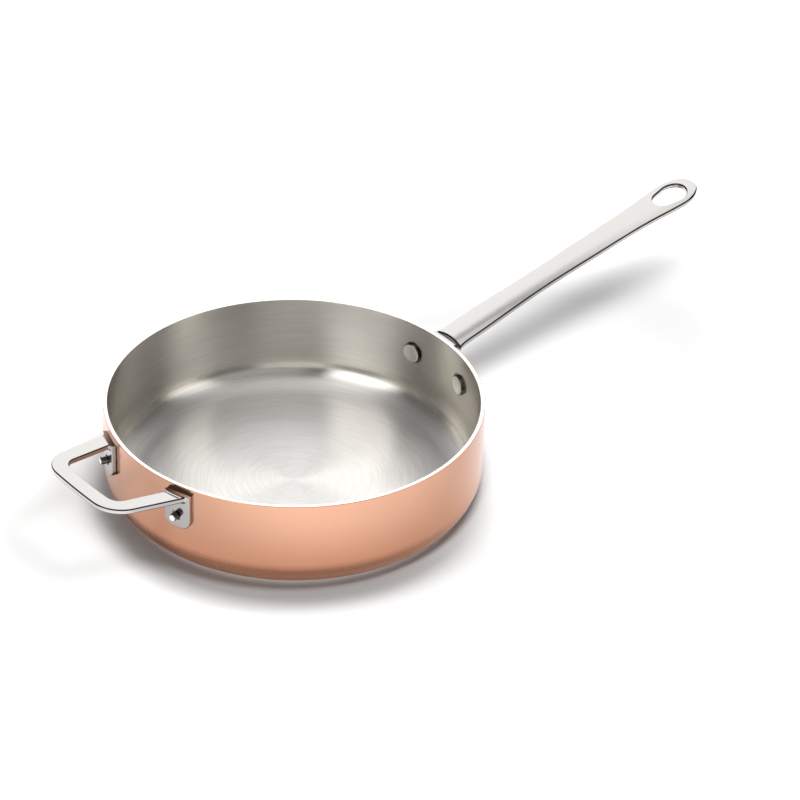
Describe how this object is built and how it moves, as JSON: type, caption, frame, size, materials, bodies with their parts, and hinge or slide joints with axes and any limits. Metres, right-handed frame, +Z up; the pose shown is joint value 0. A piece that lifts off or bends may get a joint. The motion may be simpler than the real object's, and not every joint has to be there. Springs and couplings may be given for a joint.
{
  "type": "saute pan",
  "caption": "Copper-clad saute pan with a straight wall, a riveted crowned strap handle with a hanging slot, and a riveted helper loop.",
  "frame": {"origin": "centre of the flat base's underside, on the pan's axis", "axes": "+Z up, +X along the long handle, the helper handle at -X"},
  "size_m": [0.5495, 0.264, 0.1203],
  "materials": {
    "copper": "polished copper cladding",
    "aluminium": "bonded core, shows only as a line at the rim",
    "brushed_steel": "brushed inside, polished at the rim",
    "polished_steel": "polished cast stainless steel",
    "rivet_steel": "polished stainless steel"
  },
  "bodies": {
    "root": {"copper_shell": "copper", "aluminium_core": "aluminium", "steel_liner": "brushed_steel", "long_handle": "polished_steel", "helper_handle": "polished_steel", "long_handle_rivet_left": "rivet_steel", "long_handle_rivet_right": "rivet_steel", "helper_handle_rivet_left": "rivet_steel", "helper_handle_rivet_right": "rivet_steel"}
  },
  "joints": []
}
